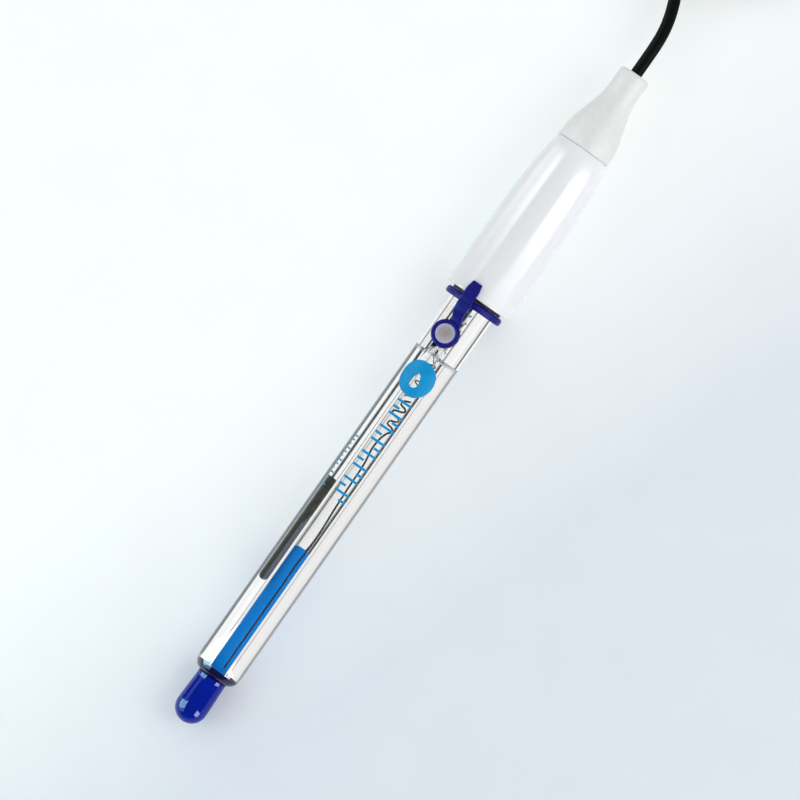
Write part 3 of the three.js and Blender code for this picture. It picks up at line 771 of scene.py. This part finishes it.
def make_stopper():
    """A ring round the tube with a tab over the cap's rim, a strap, and a disc over the refill hole."""
    start, end, outer = RING["start"], RING["end"], RING["outer"]
    inner, lip, lip_end = RING["inner"], 6.65, CAP["start"] + 0.1
    profile = fillet([(start, inner, 0.15), (start, outer, 0.6), (end, outer, 0.6), (end, inner, 0.15)])
    # The lip fills the gap between the ring and the cap and is painted black, as the painted shadow in that
    # gap.
    seal = fillet([(end + 0.03, inner, 0.1), (end + 0.03, lip, 0.1), (lip_end, lip, 0.2),
                   (lip_end, inner, 0.1)])
    give(turned("stopper_ring_lip_painted_shadow", seal, ELECTRODE, [BLACK]), "root", "navy_silicone", "stopper_ring")
    band = revolved(profile, 96)
    wide = STRAP_WIDTH + 0.4
    stations = [
        (start + 0.1, 0, 7.6, wide, 1.4), (start + 0.3, 0, 8.8, wide, 1.2),
        (start + 1.1, 0, 9.45, wide, 1.0), (end + 0.6, 0, 9.55, wide, 0.95),
        (123.9, 0, 9.55, wide, 0.95), (125.0, 0, 9.55, STRAP_WIDTH - 0.1, 0.95),
        (125.7, 0, 9.5, STRAP_WIDTH - 0.35, 0.9), (125.8, 0, 9.5, STRAP_WIDTH - 0.6, 0.6),
    ]
    tab = ribbon(spaced(stations, 36), squareness=9)
    ring = mesh_from("stopper_band", band, ELECTRODE, [NAVY])
    loop = mesh_from("tab_part", tab, ELECTRODE, [NAVY])
    boolean(ring, [loop], "UNION")
    give(ring, "root", "navy_silicone", "stopper_ring")

    low = TUBE_R + 0.2
    disc = [(low - 1.4, 0), (low - 1.4, 0.9), (low, 1.25)] + [(low + 0.05, DISC_R - 0.4)]
    disc += arc(low + 0.55, DISC_R - 0.45, 0.45, 180, 90, 4)[1:]
    disc += arc(DISC_TOP - 0.45, DISC_R - 0.45, 0.45, 90, 0, 6)
    disc += [(DISC_TOP, 2.55), (DISC_TOP - 0.12, 2.4), (DISC_TOP - 0.35, 2.3), (DISC_TOP - 0.45, 2.1),
             (DISC_TOP - 0.45, 1.7), (DISC_TOP - 0.43, 0.8), (DISC_TOP - 0.4, 0)]

    # Inside the recess the faces take the rings of painted reflection.
    def pick(u, r):
        if u < DISC_TOP - 0.5 or r > 2.45:
            return 0
        return 1 if r > 1.75 else 2 if r > 0.9 else 3

    zones = [NAVY, RECESS_RIM_REFLECTION, RECESS_REFLECTION, RECESS_MIDDLE_REFLECTION]
    plug = turned("stopper_disc", disc, over_refill(), zones, facets=72, pick=pick)
    give(plug, "stopper", "navy_silicone", "stopper_plug")

    path = [
        (120.6, 0, 9.2, wide, 1.2), (119.4, 0, 9.15, wide, 1.1),
        (118.2, -0.02, 8.75, STRAP_WIDTH + 0.2, 1.05), (117.1, -0.1, 7.95, STRAP_WIDTH - 0.1, 1.0),
        (116.1, -0.3, 7.35, STRAP_WIDTH - 0.2, 1.0),
        (115.2, -0.45, 7.15, STRAP_WIDTH, 1.0), (114.2, -0.4, 7.1, STRAP_WIDTH + 0.5, 1.0),
    ]
    bar = ribbon(spaced(path, 48), squareness=7)
    strap = mesh_from("stopper_strap", bar, ELECTRODE, [NAVY])
    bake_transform(strap)


# ---------------------------------------------------------------- print on the glass

def join_shells(bm, shells):
    """Faces for two grids of vertices, one over the other, and for the walls between their edges."""
    low, high = shells
    last, width = len(low) - 1, len(low[0]) - 1
    for grid in shells:
        for i in range(last):
            for k in range(width):
                bm.faces.new((grid[i][k], grid[i][k + 1], grid[i + 1][k + 1], grid[i + 1][k]))
    edge = [(i, 0) for i in range(last)] + [(last, k) for k in range(width)]
    edge += [(i, width) for i in range(last, 0, -1)] + [(0, k) for k in range(width, 0, -1)]
    for (i, k), (j, m) in zip(edge, edge[1:] + edge[:1]):
        bm.faces.new((low[i][k], low[j][m], high[j][m], high[i][k]))


def wrapped(name, rows, material):
    """A thin closed shell of ink on the tube, from rows of (u, arc length from the top towards -Y)."""
    bm = bmesh.new()
    shells = []
    for r in (TUBE_R + 0.012, TUBE_R + 0.03):
        grid = []
        for row in rows:
            line = []
            for u, s in row:
                a = s / TUBE_R
                line.append(bm.verts.new((u, -r * math.sin(a), r * math.cos(a))))
            grid.append(line)
        shells.append(grid)
    join_shells(bm, shells)
    return mesh_from(name, bm, ELECTRODE, [material], 60)


def print_bar(u, width, start, end):
    rows = [[(u - width * i / 2, start + (end - start) * k / 8) for k in range(9)] for i in range(3)]
    return wrapped("print_bar", rows, INK)


def make_print():
    """A plain round mark with a drop left clear in it, and two rows of plain bars, like a scale."""
    centre, side, radius = 99.1, 0.3, 4.6
    rows = []
    for i in range(97):
        a = 2 * math.pi * i / 96
        drop = Vector((centre - 0.3 + 2.1 * math.cos(a), side + 1.5 * math.sin(a) * math.sin(a / 2) ** 1.4))
        rim = Vector((centre + radius * math.cos(a), side + radius * math.sin(a)))
        rows.append([tuple(drop.lerp(rim, k / 8)) for k in range(9)])
    marks = [wrapped("print_mark", rows, INK)]
    strokes = [(-0.7, 3.3), (-0.7, 1.1), (-0.7, 3.3), (1.5, 3.3)]  # across the tube
    large = {"start": 93.0, "pitch": 1.85, "width": 0.62}
    small = {"start": 80.0, "pitch": 1.15, "width": 0.42}
    for i in range(16):
        marks.append(print_bar(large["start"] - large["pitch"] * i, large["width"], *strokes[i % 4]))
    for i in range(13):
        u = small["start"] - small["pitch"] * i
        marks.append(print_bar(u, small["width"], -4.8, -3.6 - 0.4 * (i % 3)))
    for i, mark in enumerate(marks):
        mark.name = f"{mark.name.split('.')[0]}_{i + 1}"
        give(mark, "root", "blue_gel")


# ---------------------------------------------------------------- cable

def hank_points():
    """The folded turns: a run out at +Y, a fold, a run back at -Y, and a fold that changes track."""
    points = []
    steps = 9
    for turn, (start, end) in enumerate(CROSSOVERS):
        (r, z), (next_r, next_z) = TRACKS[turn], TRACKS[turn + 1]
        for x in (0, 4, 8, 12, 16, 20, 24, 34, 44):
            points.append((HANK_START + x, r, z))
        for i in range(steps + 1):
            a = math.radians(90 - 180 * i / steps)
            points.append((HANK_START + HANK_RUN + r * math.cos(a), r * math.sin(a), z))
        for x in (44, 34, 24, 20, 16, 12, 8, 4):
            points.append((HANK_START + x, -r, z))
        for i in range(steps + (turn == len(CROSSOVERS) - 1)):
            angle = -90 + 180 * i / steps
            t = ease((angle - start) / (end - start))
            across = r + (next_r - r) * t
            up = z + (next_z - z) * t
            a = math.radians(angle)
            points.append((HANK_START - across * math.cos(a), across * math.sin(a), up))
    return points


def at_tie(point):
    """The tie passes under the turns and draws them in."""
    x, y, z = point
    bell = (1 + math.cos(math.pi * min(1, abs(x - TIE["x"]) / WAIST["reach"]))) / 2
    return x, y - math.copysign(WAIST["depth"] * bell, y), z + TIE_LIFT * bell


def make_cable():
    route = LEAD_IN + [at_tie(p) for p in hank_points()] + LEAD_OUT
    cable = tube("signal_cable", route, CABLE_D / 2, FLAT, JACKET, sides=6)
    bpy.context.view_layer.update()
    give(cable, "root", "cable_jacket", "cable", "cable_hank", "cable_tail")
    return cable


# ---------------------------------------------------------------- what is on the cable

def make_plug():
    """The bayonet plug. Its outlines are (distance from its rear end, radius)."""
    grooves = []
    for i in range(5):
        start = 1.7 + 1.35 * i
        rim = 3.06 + 0.077 * start  # the boot widens towards the plug
        grooves += [(start, rim), (start + 0.12, rim - 0.35), (start + 0.5, rim - 0.38), (start + 0.62, rim)]
    boot = [(0, 1.8), (0, 2.45), (0.2, 2.75), (0.6, 3.0)] + grooves + [(8.8, 3.7), (9, 3.5), (9, 1.8)]
    body = fillet([(15.3, 1.8), (15.3, 4.6, 0.4), (18.0, 4.6, 0.1), (18.0, 4.4, 0.1), (19.6, 4.4, 0.1),
                   (19.6, 4.6, 0.1), (21.6, 4.6), (21.6, 5.6, 0.1), (23.2, 5.6, 0.1), (23.2, 4.1),
                   (31, 4.1, 0.25), (31, 3.6, 0.15), (19.3, 3.6), (19.3, 1.8)])
    insulator = fillet([(19.6, 0.95), (19.6, 3.3, 0.2), (23, 3.3), (23, 2.6), (26, 2.6, 0.3),
                        (26, 0.95, 0.1)])
    pin = [(17, 0), (17, 0.65)] + [(29.2, 0.65), (29.7, 0.6), (30.1, 0.45), (30.3, 0.2), (30.3, 0)]
    gasket = fillet([(23.5, 4.4, 0.2), (23.5, 5.3, 0.35), (24.3, 5.3, 0.35), (24.3, 4.4, 0.2)])
    washer = fillet([(19.4, 4.95, 0.1), (19.4, 5.7, 0.1), (19.9, 5.7, 0.1), (19.9, 4.95, 0.1)])
    outlines = [
        ("connector_boot", boot, BLACK, "black_rubber", "root"),
        ("connector_body", body, NICKEL, "nickel_plate", "root"),
        ("connector_insulator", insulator, INSULATION, "white_insulation", "root"),
        ("centre_pin", pin, GOLD, "gold_plate", "root"),
        ("connector_gasket", gasket, RED_SILICONE, "red_silicone", "root"),
        ("retaining_washer", washer, NICKEL, "nickel_plate", "collar_slide"),
    ]
    pieces = []
    for node, outline, material, slot, rides_on in outlines:
        piece = turned(node + "_fine", outline, PLUG, [material], facets=72, sharp=30)
        give(piece, rides_on, slot, node)
        pieces.append(piece)
    return pieces + [make_ferrule(), make_wave_spring(), make_collar()]


def make_ferrule():
    """A crimped sleeve: round at its ends, pressed to a hexagon between them."""
    rows = [(9.3, 3.0), (9.45, 3.2), (10.2, 3.2), (10.7, 3.2), (13.6, 3.2), (14.1, 3.2), (14.85, 3.2),
            (15.0, 3.0), (15.0, 1.8), (9.3, 1.8)]
    press_start, press_end, flat = 10.6, 13.7, 2.82  # flat: from the axis to a side of the hexagon
    bm = revolved(rows, 96)
    for vert in bm.verts:
        v, r = vert.co.x, math.hypot(vert.co.y, vert.co.z)
        if press_start < v < press_end and r > 2:
            turn = math.atan2(vert.co.y, vert.co.z) % (math.pi / 3) - math.pi / 6
            pressed = min(r, flat / math.cos(turn))
            vert.co.y, vert.co.z = vert.co.y * pressed / r, vert.co.z * pressed / r
    piece = mesh_from("crimp_ferrule_fine", bm, PLUG, [NICKEL], 30)
    give(piece, "root", "nickel_plate", "crimp_ferrule")
    return piece


def make_wave_spring():
    waves, swing = 3, 0.12
    bm = revolved([(21.05, 4.95), (21.05, 5.6), (21.2, 5.6), (21.2, 4.95)], 96)
    for vert in bm.verts:
        vert.co.x += swing * math.sin(waves * math.atan2(vert.co.y, vert.co.z))
    piece = mesh_from("wave_spring_fine", bm, PLUG, [NICKEL], 30)
    give(piece, "root", "spring_steel", "wave_spring")
    return piece


def make_collar():
    """The bayonet collar: a knurled grip behind, a smooth skirt with two curved slots in front."""
    knurl_start, knurl_end, ridges, depth = 19.4, 25.0, 40, 0.22
    rows = [(18.3, 4.95), (18.3, 6.45), (18.5, 6.65), (19.0, 7.05)]
    rows += [(knurl_start + (knurl_end - knurl_start) * i / 14, 7.25) for i in range(15)]
    rows += [(25.2, 7.0), (25.6, 6.95), (25.9, 7.2), (26.1, 7.25), (31.4, 7.25), (31.8, 7.1), (32, 6.85)]
    rows += [(32, 6.15), (31.85, 6), (19.1, 6), (19.1, 4.95)]
    bm = revolved(rows, 240)
    for vert in bm.verts:
        v, r = vert.co.x, math.hypot(vert.co.y, vert.co.z)
        if knurl_start - 0.01 < v < knurl_end + 0.01 and r > 7.1:
            angle = math.atan2(vert.co.y, vert.co.z)
            cut = (r - depth * (0.5 + 0.5 * math.cos(ridges * angle))) / r
            vert.co.y, vert.co.z = vert.co.y * cut, vert.co.z * cut
    collar = mesh_from("bayonet_collar_fine", bm, PLUG, [NICKEL], 30)
    boolean(collar, [collar_slot(0), collar_slot(math.pi)])
    give(collar, "collar", "nickel_plate", "bayonet_collar")
    return collar


def collar_slot(turn):
    """The space that a jack's lug runs through, from the collar's front edge back to its seat."""
    pitch_r = 6.6  # where the outlines' (arc length, distance from the rear) are measured
    upper = [(-1.15, 33), (-1.15, 29.2), (0, 27.6), (3.3, 26.3), (6.6, 25), (8.2, 25), (8.9, 26.2)]
    lower = [(1.15, 33), (1.15, 30), (1.8, 29.4), (4.4, 28.35), (7, 27.3), (8.2, 27.3), (8.9, 26.2)]
    bm = bmesh.new()
    shells = []
    for r in (5.2, 8.0):
        rows = []
        for (s0, v0), (s1, v1) in zip(upper, lower):
            row = []
            for k in range(5):
                s, v = s0 + (s1 - s0) * k / 4, v0 + (v1 - v0) * k / 4
                angle = turn + s / pitch_r
                row.append(bm.verts.new((v, -r * math.sin(angle), r * math.cos(angle))))
            rows.append(row)
        shells.append(rows)
    join_shells(bm, shells)
    bmesh.ops.remove_doubles(bm, verts=bm.verts, dist=1e-5)
    bmesh.ops.recalc_face_normals(bm, faces=bm.faces)
    return mesh_from("slot_cutter", bm, PLUG, [NICKEL])


def make_tie():
    """A plastic strap round the hank's waist, closed by a ratchet head on top, its tail cut short."""
    x, width, thick = TIE["x"], TIE["width"], TIE["thick"]
    half, bottom, top, corner = TIE["half"], TIE["low"] + thick, TIE["inside"], 1.4
    bm = bmesh.new()
    rings = []
    for grow, side in ((0, -1), (0, 1), (thick, 1), (thick, -1)):
        w, low, high, r = half + grow, bottom - grow, top + grow, corner + grow
        corners = [(w - r, low + r, -90), (w - r, high - r, 0), (r - w, high - r, 90), (r - w, low + r, 180)]
        ring = []
        for cy, cz, start in corners:
            for i in range(9):
                a = math.radians(start + 90 * i / 8)
                ring.append(bm.verts.new((x + side * width / 2, cy + r * math.cos(a), cz + r * math.sin(a))))
        rings.append(ring)
    count = len(rings[0])
    for a, b in zip(rings, rings[1:] + rings[:1]):
        for i in range(count):
            j = (i + 1) % count
            bm.faces.new((a[i], a[j], b[j], b[i]))
    bmesh.ops.recalc_face_normals(bm, faces=bm.faces)
    band = mesh_from("tie_band", bm, FLAT, [TIE_PLASTIC], 40)
    bevelled(band, 0.2)
    give(band, "root", "tie_strap", "cable_tie")

    head = box_piece("tie_head", (x, 2.0, top + thick + 1.35), (width + 2, 5.4, 3.0))
    slot = box_piece("head_slot", (x, 2.0, top + thick + 1.6), (width - 0.6, 8, 1.3))
    boolean(head, [slot])
    bevelled(head, 0.45)
    give(head, "root", "tie_strap", "cable_tie")
    tail = box_piece("tie_tail", (x, 2.6, top + thick + 1.6), (width - 1.0, 9.5, 0.9))
    for i in range(9):
        tooth = box_piece("tooth", (x, -1.6 + i, top + thick + 2.1), (width - 2.4, 0.45, 0.5))
        boolean(tail, [tooth])
    bevelled(tail, 0.12)
    give(tail, "root", "tie_strap", "cable_tie")
    return [band, head, tail]


def box_piece(name, centre, size):
    bm = bmesh.new()
    bmesh.ops.create_cube(bm, size=1)
    bmesh.ops.scale(bm, vec=size, verts=bm.verts)
    bmesh.ops.translate(bm, vec=centre, verts=bm.verts)
    return mesh_from(name, bm, FLAT, [TIE_PLASTIC], 40)


def bevelled(piece, width):
    bevel = piece.modifiers.new("bevel", "BEVEL")
    bevel.width = width * MM
    bevel.segments = 3
    bevel.limit_method = "ANGLE"
    bevel.angle_limit = math.radians(40)
    apply_modifiers(piece)


make_camera()
make_studio()
make_bulb()
make_outer_tube()
make_stem()
make_gel()
make_liquid()
make_reference()
make_signal_wire()
make_junction()
make_cap()
make_boot()
make_stopper()
make_print()
cable = make_cable()
plug = make_plug()
tie = make_tie()
nodes = frame["nodes"]
finishes = {
    "signal_lead": SILVER, "cap_o_ring": BLACK, "potting_plug": RESIN, "coax_core": INSULATION,
    "signal_joint_sleeve": RED_SLEEVE, "shield_pigtail": NICKEL, "shield_joint_sleeve": BLACK,
    "cable_clamp": NICKEL, "cable_in_cap": JACKET,
}
for name, material in finishes.items():
    data = nodes[name].data
    data.materials.clear()
    data.materials.append(material)
